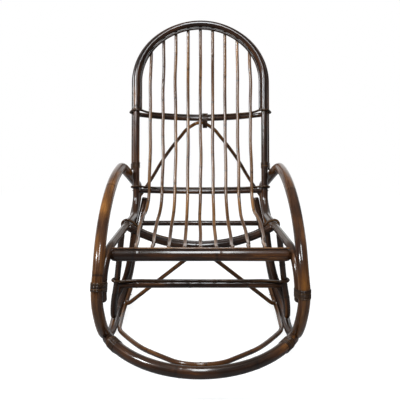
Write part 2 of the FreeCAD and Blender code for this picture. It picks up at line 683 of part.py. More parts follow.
def strap(label, right_hook, rail_spots, dia):
    """The hook round the right post, then points along the rail to its middle."""
    points = [p for p, t in right_hook] + rail_spots
    aims = {i: t for i, (p, t) in enumerate(right_hook)}
    aims[len(points) - 1] = -X_AXIS
    half = smooth(points, aims)
    inward = [(p, -t) for p, t in reversed(half)]
    pole(label, both_halves(inward), dia)


rail_top = s.back_rail_dia / 2 + strap_r + s.fit_gap
STRAP_RUN = (0.8, 0.55, 0.28, 0)
post_up = s.upper_rail_up + rail_top
post_spot = on_back(post_half(post_up), post_up)
outer_spot = post_spot + X_AXIS * s.outer_hoop_step + rear_dir * outer_rear
belt_line = math.degrees(math.atan2(-outer_rear, s.outer_hoop_step))
leave = belt_line + belt_angle(frame_r + outer_r + s.fit_gap, frame_r, outer_r)
upper_hook = hook(outer_spot, X_AXIS, -rear_dir, outer_r + strap_r, (-150, -60, leave))
upper_hook += hook(post_spot, X_AXIS, -rear_dir, frame_r + strap_r, (leave, 100))
upper_run = [upper_bow.place(upper_half * part, upper_bow.off(upper_half * part)) + up_dir * rail_top
             for part in STRAP_RUN]
strap("upper_rail_strap", upper_hook, upper_run, "strap_dia")
post_up = s.lower_rail_up + rail_top
post_spot = on_back(post_half(post_up), post_up)
lower_hook = hook(post_spot, X_AXIS, -rear_dir, frame_r + strap_r, (-110, 0, 105))
lower_run = [lower_bow.place(lower_half * part, lower_bow.off(lower_half * part)) + up_dir * rail_top
             for part in STRAP_RUN]
strap("lower_rail_strap", lower_hook, lower_run, "strap_dia")

# The seat straps lie behind the top of the sag rail and on top of the stretcher.
STRETCHER_STRAP_FRONT = 6
seat_strap_r = s.seat_strap_dia / 2
sag_behind = Y_AXIS * (s.sag_rail_dia / 2 + seat_strap_r + s.fit_gap)
sag_lift = sag_behind + Z_AXIS * ((s.sag_rail_dia - s.seat_strap_dia) / 2 - s.fit_gap)
side_spot = on_seat_side(s.sag_rail_set + sag_behind.y)
sag_hook = hook(side_spot, X_AXIS, Z_AXIS, frame_r + seat_strap_r, (-120, -20, 110))
sag_run = [sag_bow.place(sag_side.x * part, sag_bow.off(sag_side.x * part)) + sag_lift
           for part in STRAP_RUN]
strap("sag_rail_strap", sag_hook, sag_run, "seat_strap_dia")
strap_reach = s.stretcher_dia / 2 + seat_strap_r + 2 * s.fit_gap
strap_height = s.stretcher_height + math.sqrt(strap_reach ** 2 - STRETCHER_STRAP_FRONT ** 2)
loop_spot = hairpin.at(hairpin.find(Z_AXIS, strap_height, 0, hairpin.length / 2))[0]
stretcher_hook = hook(loop_spot, X_AXIS, -Y_AXIS, hairpin_r + seat_strap_r, (-70, 0, 90))
stretcher_run = [V(loop_spot.x * part, leg_spot.y - STRETCHER_STRAP_FRONT, strap_height)
                 for part in STRAP_RUN]
strap("front_stretcher_strap", stretcher_hook, stretcher_run, "seat_strap_dia")

# Bindings: cane wound round the joints.
arm_tie_step = arm_r + frame_r + s.fit_gap
tie_places = {"left": tie_at + s.left_tie_rise, "right": tie_at - s.right_tie_drop}
for name, side in SIDES:
    own_arm = paths[name + "_arm"]

    def arm_tie_frame(advance, own_arm=own_arm, side=side, place=tie_places[name]):
        level = advance - cane_step * ARM_TIE_TURNS / 2
        middle, aim = own_arm.at(place)
        spot = own_arm.at(place + level)[0]
        center = spot + aim * (level - (spot - middle).dot(aim))
        across = square_to(V(TIE_SIDE.x * side, TIE_SIDE.y, 0), aim)
        return center, across, aim.cross(across)

    arm_loop = double_loop(arm_tie_frame, arm_tie_step, arm_r + cane_stand, frame_r + cane_stand)
    binding(name + "_arm_tie", arm_loop, ARM_TIE_TURNS)

for name, side in SIDES:
    wrap_from = s.foot_wrap_set if side < 0 else foot_hoop.length - s.foot_wrap_set
    travel = 1 if side < 0 else -1

    def foot_frame(advance, wrap_from=wrap_from, travel=travel):
        center, aim = foot_hoop.at(wrap_from + travel * advance)
        across = square_to(Z_AXIS, aim)
        return center, across, (aim * travel).cross(across)

    foot_loop = single_loop(foot_frame, s.foot_hoop_dia / 2 + cane_stand)
    binding(name + "_foot_wrap", foot_loop, FOOT_WRAP_TURNS)

# The brace tie goes round the upper rail with its strap and the brace below it, beside the middle slat.
TIE_BESIDE_SLAT = slat_r + s.cane_dia + s.fit_gap
APEX_DROP = 12
TIE_SLACK = 4
tie_top = rail_top + strap_r + TIE_SLACK + cane_stand
tie_side = s.back_rail_dia / 2 + TIE_SLACK + cane_stand
tie_low = s.back_rail_dia / 2 + s.fit_gap + s.back_brace_dia + APEX_DROP + cane_stand


def brace_tie_frame(advance):
    x = TIE_BESIDE_SLAT + advance
    return upper_bow.place(x, upper_bow.off(x)) + rear_dir * TIE_SLACK, up_dir, X_AXIS.cross(up_dir)


binding("back_brace_tie", oval_loop(brace_tie_frame, tie_top, tie_low, tie_side), BRACE_TIE_TURNS)

# Ties round the back pole and the foot of the second hoop, just above the arm.
POST_TIE_LIFT = 4
post_tie_step = frame_r + outer_r + s.fit_gap
for name, side in SIDES:

    def post_tie_frame(advance, side=side):
        up = outer_foot_up + POST_TIE_LIFT + advance
        center = on_back(post_half(up) * side, up)
        along = V(post_aim.x * side, post_aim.y, post_aim.z)
        across = square_to(X_AXIS * (side * s.outer_hoop_step) + rear_dir * outer_rear, along)
        return center, across, along.cross(across)

    post_loop = double_loop(post_tie_frame, post_tie_step, frame_r + cane_stand, outer_r + cane_stand)
    binding(name + "_post_tie", post_loop, POST_TIE_TURNS)

# Dowels in the butt joints of arm and runner.
dowels = [Part.makeCylinder(s.dowel_dia / 2, s.dowel_length, V(toe.x * side, toe.y, toe.z)
                            - toe_aim * (s.dowel_length / 2), toe_aim) for name, side in SIDES]
group("toe_dowels", dowels)

# Nails: through each slat into its rails, and at the joints of the frame.
slat_nails = []
NAIL_ASIDE = V(1.6, 0, 0)
NAIL_ALONG = 3
for slat in slat_names:
    path = paths[slat]
    holds = [(p + t * NAIL_ALONG, t) for p, t in path.nodes[1:5]]
    for spot, travel in holds:
        aim = square_to(rear_dir - Z_AXIS, travel)
        slat_nails.append(nail(spot + NAIL_ASIDE - aim * slat_r, aim, s.slat_dia + s.fit_gap + s.nail_bite))
group("slat_nails", slat_nails)

RAIL_NAIL_AIM = unit(V(-0.85, 0.53, 0))
sag_end_aim = sag_bow.half_nodes(sag_side.x)[1][1]
splice_mid, splice_mid_aim = runner.at(splice_at - s.arm_dia * 0.8)
splice_aim = square_to(SPLICE_SIDE, splice_mid_aim)
arm_hold = arm.at(arm.find(Y_AXIS, arm_points[6].y, arm_top_at, arm.length) - NAIL_ALONG)[0]
foot_mid, foot_mid_aim = beside_runner((s.seat_brace_foot_set + s.seat_brace_end_set) / 2, seat_brace_r)
thin_mid, thin_mid_aim = beside_runner((s.foot_brace_front_set + s.foot_brace_end_set) / 2, foot_brace_r)


def joint_nails(side):
    """Nails of one side: where each starts on the surface, its aim and its length."""
    bite = s.nail_bite
    out = [
        (front_post - RAIL_NAIL_AIM * frame_r, RAIL_NAIL_AIM, s.frame_dia + bite),
        (arm_hold + X_AXIS * arm_r, -X_AXIS, s.arm_dia + bite),
        (on_back(lower_half + frame_r, s.lower_rail_up), -X_AXIS, s.frame_dia + bite),
        (on_back(upper_half + frame_r, s.upper_rail_up), -X_AXIS, s.frame_dia + bite),
        (sag_side + sag_end_aim * frame_r, -sag_end_aim, s.frame_dia + bite),
        (splice + X_AXIS * runner_r, -X_AXIS, s.runner_dia + bite),
        (splice_mid + splice_aim * (splice_step + arm_r), -splice_aim, s.arm_dia + bite),
        (turn_low + Z_AXIS * hairpin_r, -Z_AXIS, s.hairpin_dia + bite),
        (foot_mid - X_AXIS * seat_brace_r, X_AXIS, s.seat_brace_dia + bite),
        (thin_mid - X_AXIS * foot_brace_r, X_AXIS, s.foot_brace_dia + bite),
    ]
    return [nail(*((p, a, n) if side > 0 else (flip(p), flip(a), n))) for p, a, n in out]


frame_nails = joint_nails(-1) + joint_nails(1)
crown_spot = brace_crown + BRACE_SEAT * foot_brace_r
apex_spot = apex_low - Z_AXIS * seat_brace_r
frame_nails.append(nail(crown_spot, -BRACE_SEAT, s.foot_brace_dia + s.nail_bite))
frame_nails.append(nail(apex_spot, Z_AXIS, s.seat_brace_dia + s.nail_bite))
group("frame_nails", frame_nails)

# Cope each piece to the poles that it meets and drill it for its nails.
for slat in slat_names:
    cut_by(slat, "outer_back_hoop", "slat_nails")
cut_by("front_seat_rail", "seat_back_hoop", "slat_nails", "frame_nails")
cut_by("seat_sag_rail", "seat_back_hoop", "slat_nails", "frame_nails")
cut_by("lower_back_rail", "seat_back_hoop", "slat_nails", "frame_nails")
cut_by("upper_back_rail", "seat_back_hoop", "slat_nails", "frame_nails")
cut_by("rear_stretcher", "left_runner", "right_runner", "frame_nails")
cut_by("front_stretcher", "left_hairpin_leg", "right_hairpin_leg")
cut_by("front_foot_hoop", "left_arm", "right_arm", "left_runner", "right_runner", "frame_nails")
cut_by("back_brace", "left_arm", "right_arm")
cut_by("under_seat_brace", "frame_nails")
cut_by("foot_hoop_brace", "frame_nails")
for name, side in SIDES:
    cut_by(name + "_hairpin_leg", "seat_back_hoop", "seat_sag_rail", "frame_nails")
cut_by("seat_back_hoop", "frame_nails")
for name, side in SIDES:
    cut_by(name + "_arm", "toe_dowels", "frame_nails")
    cut_by(name + "_runner", "toe_dowels", "frame_nails")
doc.recompute()

# Every object has to be sound, and every piece one closed solid, before anything is written.
for item in doc.Objects:
    if "Invalid" in item.State or "Error" in item.State:
        raise RuntimeError("%s failed: %s" % (item.Label, item.State))
groups = ("toe_dowels", "slat_nails", "frame_nails")
for label, item in nodes.items():
    shape = item.Shape
    if shape.isNull() or not shape.isValid():
        raise RuntimeError("%s has no sound shape" % label)
    if label not in groups and len(shape.Solids) != 1:
        raise RuntimeError("%s has %d solids" % (label, len(shape.Solids)))
    item.Label = label
for label, path in paths.items():
    line_volume = path.length * math.pi * (getattr(doc, label).Sections[0].Radius.Value) ** 2
    swept_volume = getattr(doc, label).Shape.Volume
    if abs(swept_volume - line_volume) > 0.001 * line_volume:
        raise RuntimeError("%s: swept %.0f of %.0f mm3" % (label, swept_volume, line_volume))

os.makedirs("parts", exist_ok=True)
for label, item in nodes.items():
    item.Shape.exportStep(os.path.join("parts", label + ".step"))
print("%d pieces" % len(nodes))
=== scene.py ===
"""Looks of a rocking chair bent from dark-stained cane poles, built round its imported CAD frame."""
import math
import random

import bpy
from mathutils import Matrix, Vector


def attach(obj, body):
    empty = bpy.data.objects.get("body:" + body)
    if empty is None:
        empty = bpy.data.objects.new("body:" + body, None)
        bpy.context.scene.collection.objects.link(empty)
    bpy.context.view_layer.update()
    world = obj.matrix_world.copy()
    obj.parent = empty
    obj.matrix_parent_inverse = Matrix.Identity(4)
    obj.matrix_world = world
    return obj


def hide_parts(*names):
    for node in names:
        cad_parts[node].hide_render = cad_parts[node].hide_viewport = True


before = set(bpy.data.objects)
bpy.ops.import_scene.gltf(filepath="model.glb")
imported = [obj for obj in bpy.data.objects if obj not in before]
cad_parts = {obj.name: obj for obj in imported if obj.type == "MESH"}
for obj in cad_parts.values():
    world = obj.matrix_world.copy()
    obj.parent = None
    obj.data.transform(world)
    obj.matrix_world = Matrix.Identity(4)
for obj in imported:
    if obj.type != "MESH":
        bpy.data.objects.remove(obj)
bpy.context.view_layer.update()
scene = bpy.context.scene
MM = 0.001
SIDES = (("left", -1), ("right", 1))
ACROSS = Vector((1, 0, 0))
UPWARD = Vector((0, 0, 1))
BACK_UP = Vector((0, 0.4226, 0.9063))
BACK_REAR = Vector((0, 0.9063, -0.4226))
rng = random.Random(11)


# Lines of the bent poles, in millimetres

def arc_pair(p0, t0, p1, t1, step):
    """Two tangent arcs that leave p0 along t0 and reach p1 along t1, as points after p0."""
    chord = p1 - p0
    a = 2 * t0.dot(t1) - 2
    b = -2 * chord.dot(t0 + t1)
    c = chord.dot(chord)
    reach = -c / b if abs(a) < 1e-6 else (-b - math.sqrt(b * b - 4 * a * c)) / (2 * a)
    q0 = p0 + t0 * reach
    q1 = p1 - t1 * reach
    middle = (q0 + q1) / 2
    out = []
    for start, corner, end in ((p0, q0, middle), (middle, q1, p1)):
        weight = (end - start).length / max(2 * (corner - start).length, 1e-9)
        count = max(2, math.ceil((end - start).length / step))
        for k in range(1, count + 1):
            t = k / count
            head, mid, tail = (1 - t) ** 2, 2 * weight * t * (1 - t), t ** 2
            out.append((start * head + corner * mid + end * tail) / (head + mid + tail))
    return out


def bent(points, aims=None, step=4.0):
    """The line of a pole bent through points; aims gives its direction at some of them by number."""
    points = [Vector(p) for p in points]
    last = len(points) - 1
    aims = {i: Vector(a).normalized() for i, a in (aims or {}).items()}
    for i in range(1, last):
        before = points[i] - points[i - 1]
        after = points[i + 1] - points[i]
        blend = before * (after.length / before.length) + after * (before.length / after.length)
        aims.setdefault(i, blend.normalized())
    for end, inner in ((0, 1), (last, last - 1)):
        if end not in aims:
            chord = (points[inner] - points[end]).normalized()
            aims[end] = chord * (2 * chord.dot(aims[inner])) - aims[inner]
    line = [points[0]]
    for i in range(last):
        line += arc_pair(points[i], aims[i], points[i + 1], aims[i + 1], step)
    return line


def straight(half, y, z):
    """The line of a straight rail across the chair."""
    return [Vector((-half, y, z)), Vector((half, y, z))]


def mirror(line):
    """The line on the other side of the chair."""
    return [Vector((-p.x, p.y, p.z)) for p in line]


def whole(right_half):
    """A line from the left end to the right end, from its right half that starts in the middle."""
    return mirror(right_half)[:0:-1] + right_half


def even(line, step):
    """The line again with its points step apart, and its length."""
    ticks = [0.0]
    for p, q in zip(line, line[1:]):
        ticks.append(ticks[-1] + (q - p).length)
    count = max(4, round(ticks[-1] / step))
    out = []
    k = 0
    for i in range(count + 1):
        along = ticks[-1] * i / count
        while k < len(ticks) - 2 and ticks[k + 1] < along:
            k += 1
        part = (along - ticks[k]) / max(ticks[k + 1] - ticks[k], 1e-9)
        out.append(line[k].lerp(line[k + 1], part))
    return out, ticks[-1]


# Materials

def srgb(hex_colour):
    """A hex colour as the linear values that shaders take."""
    parts = [int(hex_colour[i:i + 2], 16) / 255 for i in (1, 3, 5)]
    return [p / 12.92 if p <= 0.04045 else ((p + 0.055) / 1.055) ** 2.4 for p in parts] + [1.0]


def add(tree, kind, links, stops=(), **settings):
    """A node with its settings; links gives each input a value or another node's output."""
    node = tree.nodes.new(kind)
    for name, value in settings.items():
        setattr(node, name, value)
    for socket, value in links.items():
        if isinstance(value, bpy.types.NodeSocket):
            tree.links.new(value, node.inputs[socket])
        else:
            node.inputs[socket].default_value = value
    for number, (place, colour) in enumerate(stops):
        band = node.color_ramp.elements
        element = band[number] if number < 2 else band.new(place)
        element.position = place
        element.color = srgb(colour)
    return node


def cane_lacquer(name, stops, ring_and_seam_shade_colour, dust_and_top_light, rough, coat):
    """Stained cane under clear lacquer: long fibres, patches where the stain took unevenly, dark rings at
    the joints of the stem and painted shade along the seams of bindings, a little dust with a painted pale
    top light on upward faces, dull where it is scuffed and glossy elsewhere."""
    material = bpy.data.materials.new(name)
    material.use_nodes = True
    tree = material.node_tree
    shader = tree.nodes["Principled BSDF"]
    # The stem map holds metres along the stem and turns round it
    stem_map = add(tree, "ShaderNodeUVMap", {}, uv_map="stem")
    split = add(tree, "ShaderNodeSeparateXYZ", {0: stem_map.outputs[0]})
    angle = add(tree, "ShaderNodeMath", {0: split.outputs[1], 1: math.tau}, operation="MULTIPLY")
    cosine = add(tree, "ShaderNodeMath", {0: angle.outputs[0]}, operation="COSINE")
    sine = add(tree, "ShaderNodeMath", {0: angle.outputs[0]}, operation="SINE")
    place = add(tree, "ShaderNodeCombineXYZ",
                {0: split.outputs[0], 1: cosine.outputs[0], 2: sine.outputs[0]})
    # Fibres 160 mm long and a thirtieth of the stem's girth wide
    fibre_place = add(tree, "ShaderNodeVectorMath", {0: place.outputs[0], 1: (6, 5, 5)},
                      operation="MULTIPLY")
    fibre = add(tree, "ShaderNodeTexNoise", {"Vector": fibre_place.outputs[0], "Scale": 1.0, "Detail": 4.0,
                                             "Roughness": 0.6})
    # Patches 140 mm long
    patch_place = add(tree, "ShaderNodeVectorMath", {0: place.outputs[0], 1: (7, 0.6, 0.6)},
                      operation="MULTIPLY")
    patch = add(tree, "ShaderNodeTexNoise", {"Vector": patch_place.outputs[0], "Scale": 1.0, "Detail": 3.0,
                                             "Roughness": 0.5})
    # Specks 5 mm long
    speck_place = add(tree, "ShaderNodeVectorMath", {0: place.outputs[0], 1: (200, 5, 5)},
                      operation="MULTIPLY")
    speck = add(tree, "ShaderNodeTexNoise", {"Vector": speck_place.outputs[0], "Scale": 1.0, "Detail": 3.0,
                                             "Roughness": 0.6})
    fibre_tone = add(tree, "ShaderNodeMath", {0: fibre.outputs[0], 1: 0.35}, operation="MULTIPLY")
    patch_tone = add(tree, "ShaderNodeMath", {0: patch.outputs[0], 1: 1.0, 2: fibre_tone.outputs[0]},
                     operation="MULTIPLY_ADD")
    tone = add(tree, "ShaderNodeMath", {0: speck.outputs[0], 1: 0.15, 2: patch_tone.outputs[0]},
               operation="MULTIPLY_ADD")
    spread = add(tree, "ShaderNodeMapRange", {"Value": tone.outputs[0], "From Min": 0.5, "From Max": 1.0})
    stain = add(tree, "ShaderNodeValToRGB", {"Fac": spread.outputs[0]}, stops=stops)
    ring_and_seam_shade = add(tree, "ShaderNodeAttribute", {}, attribute_name="ring_and_seam_shade")
    # Dark rings at the joints of stems; on bindings the same mark is painted shade along the seams
    ringed_and_seam_shaded = add(tree, "ShaderNodeMix",
                 {0: ring_and_seam_shade.outputs["Fac"], 6: stain.outputs[0], 7: srgb(ring_and_seam_shade_colour)}, data_type="RGBA")
    surface = add(tree, "ShaderNodeNewGeometry", {})
    facing = add(tree, "ShaderNodeSeparateXYZ", {0: surface.outputs["Normal"]})
    top = add(tree, "ShaderNodeMapRange", {"Value": facing.outputs[2], "From Min": 0.4, "From Max": 1.0,
                                           "To Max": dust_and_top_light})
    # Dust with painted pale top light: faces turned upward go greyer, speckled
    dust_and_top_light_mask = add(tree, "ShaderNodeMath", {0: top.outputs[0], 1: speck.outputs[0]}, operation="MULTIPLY")
    scuff = add(tree, "ShaderNodeAttribute", {}, attribute_name="scuff")
    # Scuffed wear, dust and the painted top light all mix towards one grey-brown
    dull = add(tree, "ShaderNodeMath", {0: scuff.outputs["Fac"], 1: 0.6, 2: dust_and_top_light_mask.outputs[0]},
               operation="MULTIPLY_ADD", use_clamp=True)
    finish = add(tree, "ShaderNodeMix", {0: dull.outputs[0], 6: ringed_and_seam_shaded.outputs[2], 7: srgb("#473d35")},
                 data_type="RGBA")
    gloss = add(tree, "ShaderNodeMapRange", {"Value": fibre.outputs[0], "From Min": 0.3, "From Max": 0.75,
                                             "To Min": rough - 0.07, "To Max": rough + 0.1})
    worn = add(tree, "ShaderNodeMath", {0: scuff.outputs["Fac"], 1: 0.3, 2: gloss.outputs[0]},
               operation="MULTIPLY_ADD", use_clamp=True)
    relief = add(tree, "ShaderNodeBump", {"Strength": 0.08, "Distance": 0.0005, "Height": tone.outputs[0]})
    tree.links.new(finish.outputs[2], shader.inputs["Base Color"])
    tree.links.new(worn.outputs[0], shader.inputs["Roughness"])
    tree.links.new(relief.outputs[0], shader.inputs["Normal"])
    # Bare cane hardly shines, the lacquer of IOR 1.5 over it does
    shader.inputs["Specular IOR Level"].default_value = 0.15
    shader.inputs["Coat Weight"].default_value = coat
    shader.inputs["Coat IOR"].default_value = 1.5
    shader.inputs["Coat Roughness"].default_value = 0.12
    return material


# Poles of the frame: near-black brown, amber only where the stain is thin
frame_lacquer = cane_lacquer("dark_lacquered_cane", [(0.0, "#140a05"), (1.0, "#70451c"), (0.4, "#25150b"),
                                                     (0.75, "#402512")], "#0f0804", 0.4, 0.3, 0.8)
# Arms and legs: warmer brown, polished by hands
arm_lacquer = cane_lacquer("warm_lacquered_cane", [(0.0, "#251308"), (1.0, "#8f5c26"), (0.35, "#452812"),
                                                   (0.7, "#67401b")], "#1a0e06", 0.25, 0.3, 0.8)
# Slats: lighter brown, the lacquer rubbed thin
slat_lacquer = cane_lacquer("worn_slat_cane", [(0.0, "#301c0e"), (1.0, "#9a6c3f"), (0.35, "#53351e"),
                                               (0.7, "#73502f")], "#24150b", 0.15, 0.34, 0.8)
# Bindings and straps: split cane, duller because its skin is scraped
# Its ring colour also paints shade into the seams between the turns of the bindings
split_cane = cane_lacquer("split_cane_binding", [(0.0, "#1a0f08"), (1.0, "#7c5328"), (0.45, "#2e1b0e"),
                                                 (0.75, "#473019")], "#1a100a", 0.3, 0.42, 0.4)


def small_part_finish(name, dark, light, metallic, rough, grain):
    """A small plain part, its colour and gloss uneven over grains of that size in metres."""
    material = bpy.data.materials.new(name)
    material.use_nodes = True
    tree = material.node_tree
    shader = tree.nodes["Principled BSDF"]
    place = add(tree, "ShaderNodeTexCoord", {})
    grains = add(tree, "ShaderNodeTexNoise", {"Vector": place.outputs["Object"], "Scale": 1 / grain,
                                              "Detail": 3.0})
    shade = add(tree, "ShaderNodeValToRGB", {"Fac": grains.outputs[0]}, stops=[(0.3, dark), (0.7, light)])
    gloss = add(tree, "ShaderNodeMapRange", {"Value": grains.outputs[0], "To Min": rough - 0.1,
                                             "To Max": rough + 0.1})
    tree.links.new(shade.outputs[0], shader.inputs["Base Color"])
    tree.links.new(gloss.outputs[0], shader.inputs["Roughness"])
    shader.inputs["Metallic"].default_value = metallic
    return material


# Nail heads of dull steel give small grey glints, dowels of bare beech are pale and matt
nail_steel = small_part_finish("dull_nail_steel", "#3a3129", "#8d857a", 0.85, 0.42, 0.002)
dowel_beech = small_part_finish("bare_beech", "#6f5233", "#93714a", 0.0, 0.6, 0.003)


# Stems of cane

def sway(length, size, holds):
    """Slow bends of a stem off its line, none at the places where it is held."""
    waves = [(rng.uniform(55, 95), rng.uniform(0, math.tau)) for _ in range(3)]
    turns = [(rng.uniform(60, 100), rng.uniform(0, math.tau)) for _ in range(3)]
    stops = sorted({0.0, length, *holds})

    def offset(along):
        free = 0.0
        for low, high in zip(stops, stops[1:]):
            if low <= along <= high and high > low:
                free = math.sin(math.pi * (along - low) / (high - low)) ** 2 * min(1.0, (high - low) / 150)
        sideways = sum(math.sin(along / reach + start) for reach, start in waves) / 3
        upward = sum(math.sin(along / reach + start) for reach, start in turns) / 3
        return size * free * sideways, 0.5 * size * free * upward

    return offset


def map_stem(mesh, count, sides, length, start):
    """UV map named stem: metres along from start, and turns round, with no seam inside a face."""
    while mesh.uv_layers:
        mesh.uv_layers.remove(mesh.uv_layers[0])
    layer = mesh.uv_layers.new(name="stem")
    for face in mesh.polygons:
        turns = [mesh.loops[k].vertex_index % sides for k in face.loop_indices]
        wraps = len(turns) == 4 and max(turns) - min(turns) > 1
        for k, turn in zip(face.loop_indices, turns):
            along = mesh.loops[k].vertex_index // sides / max(count - 1, 1) * length
            layer.data[k].uv = (start + along, (turn + sides if wraps and turn == 0 else turn) / sides)


def finish_piece(piece, name, material, node):
    """Name, material and place in the frame of the piece that is selected."""
    piece.name = name
    piece.data.name = name
    piece.data.materials.clear()
    piece.data.materials.append(material)
    bpy.ops.object.shade_smooth_by_angle(angle=math.radians(50))
    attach(piece, "root")
    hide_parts(node)


def stem(node, line, radius, material, slot, joints=220, swell=0.05, stray=0.8, holds=(), step=4.0, sides=20,
         ends=(0.75, 0.75), shaved=None, scuffed=None):
    """A stem of cane along a line, its joints that far apart; ends says how much is left of its tips, shaved
    is the length and thickness of a start that is cut thin from above, scuffed tells how worn it is at a
    point."""
    points, length = even(line, step)
    last = len(points) - 1
    rings = []
    place = rng.uniform(0.2, 0.8) * joints
    while place < length:
        rings.append(place)
        place += joints * rng.uniform(0.75, 1.3)
    bend = sway(length, stray, holds)
    phase = rng.uniform(0, math.tau)
    bpy.ops.object.select_all(action="DESELECT")
    bpy.ops.curve.primitive_nurbs_path_add()
    curve = bpy.context.object.data
    curve.splines.clear()
    spline = curve.splines.new("POLY")
    spline.points.add(last)
    ring_and_seam_shade_marks = []
    worn = []
    for i, p in enumerate(points):
        along = length * i / last
        travel = (points[min(i + 1, last)] - points[max(i - 1, 0)]).normalized()
        side = travel.cross(UPWARD)
        side = side.normalized() if side.length > 0.1 else ACROSS
        sideways, upward = bend(along)
        near = min((abs(along - r) for r in rings), default=1e9)
        mark = math.exp(-(near / 3.0) ** 2)
        ring_and_seam_shade_marks.append(mark)
        fat = 1 + swell * mark - 0.012 + 0.012 * math.sin(along / 90 + phase)
        for edge, tip in ((along, ends[0]), (length - along, ends[1])):
            if edge < radius * 0.5:
                fat *= tip + (1 - tip) * math.sqrt(edge / (radius * 0.5))
        if shaved and along < shaved[0]:
            full = math.sin(math.pi / 2 * along / shaved[0]) ** 2
            thick = shaved[1] + (1 - shaved[1]) * full
            fat *= thick
            upward -= radius * (1 - thick)
        worn.append(scuffed(p) if scuffed else 0.0)
        spline.points[i].co = ((p + side * sideways + side.cross(travel) * upward) * MM).to_4d()
        spline.points[i].radius = fat
    curve.dimensions = "3D"
    curve.bevel_depth = radius * MM
    curve.bevel_resolution = (sides - 4) // 2
    curve.use_fill_caps = True
    curve.resolution_u = 1
    bpy.ops.object.convert(target="MESH")
    piece = bpy.context.object
    mesh = piece.data
    around = len(mesh.vertices) // len(points)
    map_stem(mesh, len(points), around, length * MM, rng.uniform(0, 40))
    ring_and_seam_shade = mesh.attributes.new("ring_and_seam_shade", "FLOAT", "POINT")
    scuff = mesh.attributes.new("scuff", "FLOAT", "POINT")
    for i in range(len(mesh.vertices)):
        ring_and_seam_shade.data[i].value = 0.8 * ring_and_seam_shade_marks[min(i // around, last)]
        scuff.data[i].value = worn[min(i // around, last)]
    finish_piece(piece, node + "_cane", material, node)
    return piece


def pair(name, line, *args, **settings):
    """The left and right pieces of one shape; line is the right one's."""
    for side_name, side in SIDES:
        stem("%s_%s" % (side_name, name), line if side > 0 else mirror(line), *args, **settings)


ARM_RADIUS = 17
POST_RADIUS = 12
OUTER_RADIUS = 9.5
FOOT_RADIUS = 17.5
SLAT_RADIUS = 6
POST = (-0.0107, -0.4226, -0.9063)
SEAT_SIDE = (0.064, -0.994, 0.089)

# Runners and arms make the ring on each side
runner_line = bent([(278, -370.2, 123.6), (285, -193.1, 42), (292, 0, 14), (275.5, 205.1, 48.3),
                    (259, 387.9, 147.6), (245.8, 426.7, 200.5), (226, 475, 295)],
                   {0: (0, 0.839, -0.545), 2: (-0.024, 1, 0)})
arm_line = bent([(278, -370.5, 123.8), (282, -422, 189.4), (286, -436, 255), (282, -401, 351),
                 (286, -255, 433), (278, 120, 502), (263.4, 218.1, 460.2), (267.8, 444.2, 244.3),
                 (280.9, 410.7, 188.2)],
                {0: (0, -0.839, 0.545), 5: (-0.07, 1, 0), 7: (0.186, -0.466, -0.865),
                 8: (0.207, -0.553, -0.807)})
pair("runner", runner_line, 14, frame_lacquer, "dark_pole", joints=260, sides=28, ends=(1, 0.75))
pair("arm", arm_line, ARM_RADIUS, arm_lacquer, "dark_pole", joints=330, sides=32, swell=0.025,
     ends=(1, 0.75))

# Seat and back pole, the hoop behind it and the thin arch inside it
hoop_half = bent([(0, 462.4, 984.1), (238, 366.3, 777.9), (233.2, 182.7, 384.3), (236.6, 93.1, 332.6),
                  (260.7, -278, 366), (273.7, -406.8, 276.9), (273.5, -408.8, 243)],
                 {0: ACROSS, 1: POST, 2: POST, 3: SEAT_SIDE, 4: SEAT_SIDE, 5: (0.034, -0.213, -0.977),
                  6: (-0.047, 0.091, -0.995)})
outer_half = bent([(0, 484.1, 986.1), (249, 383.3, 769.9), (245.3, 242.5, 468)],
                  {0: ACROSS, 1: POST, 2: POST})
arch_half = bent([(0, 463.9, 966.8), (223, 374.1, 774.2), (221.8, 327.4, 674.2)],
                 {0: ACROSS, 1: POST, 2: POST})


def seat_scuff(p):
    """The side poles of the seat are rubbed dull from the front rail to the back posts."""
    return max(0.0, min(1.0, (p.y + 350) / 60, (150 - p.y) / 90, (440 - p.z) / 40))


stem("seat_back_hoop", whole(hoop_half), POST_RADIUS, frame_lacquer, "dark_pole", joints=240, sides=28,
     swell=0.02, stray=0.2, scuffed=seat_scuff)
stem("outer_back_hoop", whole(outer_half), OUTER_RADIUS, frame_lacquer, "dark_pole", joints=230, sides=24,
     swell=0.02, stray=0.2)
stem("inner_back_arch", whole(arch_half), 5, frame_lacquer, "dark_pole", joints=160, sides=16, swell=0.02,
     stray=0.1)

# Rails and stretchers
sag_half = bent([(0, -45, 273.6), (239.5, -45, 341.3)], {0: ACROSS, 1: (0.852, 0, 0.524)})
lower_half = bent([(0, 214.6, 391.2), (227.4, 192.3, 401.7)], {0: ACROSS, 1: (0.977, -0.194, 0.091)})
upper_half = bent([(0, 366.7, 637), (230.6, 315.3, 661)], {0: ACROSS, 1: (0.886, -0.421, 0.196)})
stem("seat_sag_rail", whole(sag_half), 13, frame_lacquer, "dark_pole", joints=190, sides=24)
stem("lower_back_rail", whole(lower_half), 8.5, frame_lacquer, "dark_pole", joints=170, sides=20)
stem("upper_back_rail", whole(upper_half), 8.5, frame_lacquer, "dark_pole", joints=180, sides=20)
stem("front_seat_rail", straight(255, -345, 357), 18, frame_lacquer, "dark_pole", joints=210, sides=28,
     swell=0.03)
stem("rear_stretcher", straight(238.8, 426.7, 200.5), 10.5, frame_lacquer, "dark_pole", joints=190, sides=20)
stem("front_stretcher", straight(270, -105.7, 162.5), 12, frame_lacquer, "dark_pole", joints=180, sides=24)
stem("front_slat_strip", straight(252, -349.7, 378.7), 3, slat_lacquer, "slat_cane", joints=150, sides=12)

